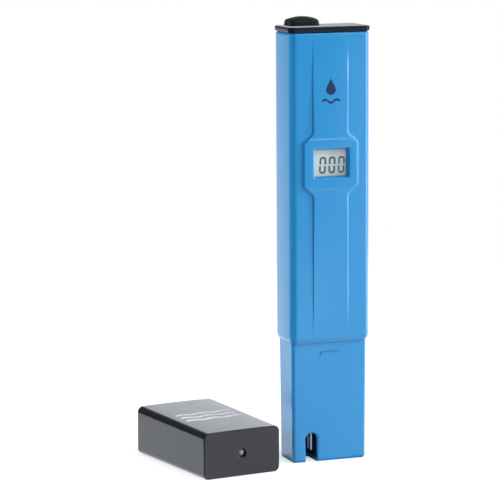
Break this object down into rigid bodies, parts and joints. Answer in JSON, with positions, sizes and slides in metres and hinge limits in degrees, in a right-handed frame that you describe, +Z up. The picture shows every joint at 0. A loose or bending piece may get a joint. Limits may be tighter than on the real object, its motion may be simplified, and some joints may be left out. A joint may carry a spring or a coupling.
{
  "type": "digital water tester",
  "caption": "Pocket water tester with a display in a raised frame, a pull-out battery top, a slide switch, a slotted electrode probe and a loose protective cap.",
  "frame": {"origin": "middle of the probe's flat end, on the surface that the tester stands on", "axes": "+Z up along the tester, the display faces -Y, +X to the right of the display"},
  "size_m": [0.0835, 0.0599, 0.1749],
  "materials": {
    "blue_plastic": "satin moulded blue",
    "black_plastic": "fine satin black",
    "clear_window": "clear polished",
    "display_glass": "grey-green reflective",
    "contact_rubber": "banded conductive rubber",
    "seal_rubber": "smooth black rubber",
    "electrode_steel": "bright drawn steel",
    "solder": "dull tin",
    "thermistor_resin": "dipped resin",
    "board_green": "green solder mask",
    "chip_black": "moulded epoxy",
    "trimmer_blue": "blue nylon",
    "brass": "stamped brass",
    "cell_steel": "nickel plated",
    "carrier_white": "natural acetal"
  },
  "bodies": {
    "tester": {"body_shell": "blue_plastic", "display_window": "clear_window", "lcd_panel": "display_glass", "display_frame": "black_plastic", "upper_contact_rubber": "contact_rubber", "lower_contact_rubber": "contact_rubber", "probe_housing": "blue_plastic", "probe_seal": "seal_rubber", "electrode_holder": "black_plastic", "front_electrode": "electrode_steel", "rear_electrode": "electrode_steel", "electrode_solder": "solder", "thermistor": "thermistor_resin", "circuit_board": "board_green", "driver_chip": "chip_black", "chip_resistors": "chip_black", "trimmer_body": "trimmer_blue", "left_board_spring": "brass", "right_board_spring": "brass"},
    "drawer": {"battery_drawer": "black_plastic", "drawer_seal": "seal_rubber", "button_cell_1": "cell_steel", "button_cell_2": "cell_steel", "button_cell_3": "cell_steel", "button_cell_4": "cell_steel", "positive_contact": "brass", "negative_contact": "brass", "switch_terminal": "brass"},
    "switch": {"switch_knob": "black_plastic", "switch_carrier": "carrier_white", "switch_wiper": "brass"},
    "trimmer": {"trimmer_rotor": "brass"},
    "cap": {"protective_cap": "black_plastic"}
  },
  "joints": [
    {"name": "drawer_pull", "type": "slide", "parent": "tester", "child": "drawer", "axis": [0, 0, 1], "range_m": [0, 0.024]},
    {"name": "switch_slide", "type": "slide", "parent": "drawer", "child": "switch", "axis": [1, 0, 0], "range_m": [0, 0.004]},
    {"name": "trimmer_turn", "type": "hinge", "parent": "tester", "child": "trimmer", "pos_m": [0, 0.005, 0.086], "axis": [0, 1, 0], "range_deg": [-135, 135]},
    {"name": "cap_pull", "type": "slide", "parent": "tester", "child": "cap", "axis": [-0.1478, 0.989, 0.0101], "range_m": [0, 0.0476]}
  ]
}
